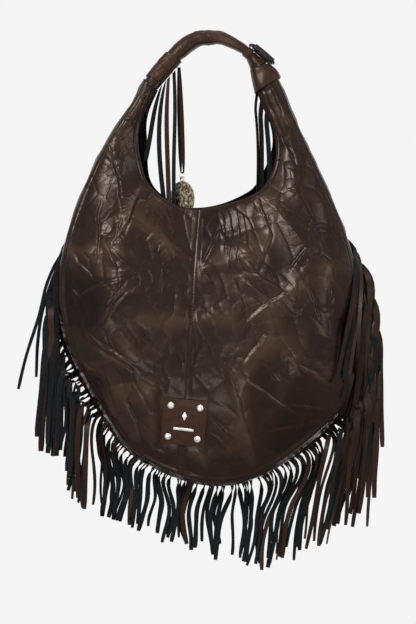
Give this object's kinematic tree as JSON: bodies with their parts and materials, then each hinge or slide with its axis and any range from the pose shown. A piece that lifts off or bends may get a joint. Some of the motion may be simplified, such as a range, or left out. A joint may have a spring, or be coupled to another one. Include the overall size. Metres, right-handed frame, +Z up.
{
  "type": "fringed shoulder bag",
  "caption": "Slouchy dark-brown leather shoulder bag with suede-backed fringe, wrapped handle, buckled strap end, riveted patch and a hanging medal charm",
  "frame": {"origin": "level spot under the crown of the handle, where the bag rests on a hook", "axes": "+X to the right seen from the front, +Y to the back, +Z up; the front faces -Y"},
  "size_m": [0.4551, 0.1324, 0.7059],
  "materials": {
    "front_panel_left": "crinkled glossy brown leather",
    "front_panel_right": "crinkled glossy brown leather",
    "back_panel": "crinkled glossy brown leather",
    "gusset": "crinkled glossy brown leather",
    "lining": "plain black cloth",
    "fringe_band": "suede with a smooth brown face",
    "handle_strap_left": "crinkled glossy brown leather",
    "handle_strap_right": "crinkled glossy brown leather",
    "wrap_lace": "smooth brown leather lace",
    "wrap_tab": "smooth brown leather lace",
    "tassel_left_1": "suede",
    "tassel_left_2": "suede",
    "tassel_left_3": "suede",
    "tassel_left_4": "suede",
    "tassel_right_1": "suede",
    "tassel_right_2": "suede",
    "tassel_right_3": "suede",
    "charm_loop": "smooth brown leather",
    "charm_ring": "polished silver wire",
    "charm_medal": "antique silver and brass",
    "strap_cuff": "stitched brown leather",
    "strap_keeper": "smooth brown leather",
    "buckle_frame": "dark gunmetal",
    "buckle_prong": "dark gunmetal",
    "buckle_tongue": "smooth brown leather",
    "label_patch": "smooth brown leather",
    "rivet_1": "polished silver",
    "rivet_2": "polished silver",
    "rivet_3": "polished silver",
    "rivet_4": "polished silver",
    "patch_lozenge": "silver",
    "patch_bar": "silver"
  },
  "bodies": {
    "root": {"front_panel_left": "front_panel_left", "front_panel_right": "front_panel_right", "back_panel": "back_panel", "gusset": "gusset", "lining": "lining", "fringe_band": "fringe_band", "handle_strap_left": "handle_strap_left", "handle_strap_right": "handle_strap_right", "wrap_lace": "wrap_lace", "wrap_tab": "wrap_tab", "tassel_left_1": "tassel_left_1", "tassel_left_2": "tassel_left_2", "tassel_left_3": "tassel_left_3", "tassel_left_4": "tassel_left_4", "tassel_right_1": "tassel_right_1", "tassel_right_2": "tassel_right_2", "tassel_right_3": "tassel_right_3", "charm_loop": "charm_loop", "strap_cuff": "strap_cuff", "strap_keeper": "strap_keeper", "buckle_frame": "buckle_frame", "buckle_prong": "buckle_prong", "buckle_tongue": "buckle_tongue", "label_patch": "label_patch", "rivet_1": "rivet_1", "rivet_2": "rivet_2", "rivet_3": "rivet_3", "rivet_4": "rivet_4", "patch_lozenge": "patch_lozenge", "patch_bar": "patch_bar"},
    "ring": {"charm_ring": "charm_ring"},
    "medal": {"charm_medal": "charm_medal"}
  },
  "joints": [
    {"name": "ring_swing", "type": "hinge", "parent": "root", "child": "ring", "pos_m": [-0.0335, 0, -0.1651], "axis": [-0.7547, -0.6561, 0], "range_deg": [-4, 10]},
    {"name": "medal_swing", "type": "hinge", "parent": "ring", "child": "medal", "pos_m": [-0.0335, 0, -0.1693], "axis": [-0.6561, 0.7547, 0], "range_deg": [-8, 6]}
  ]
}
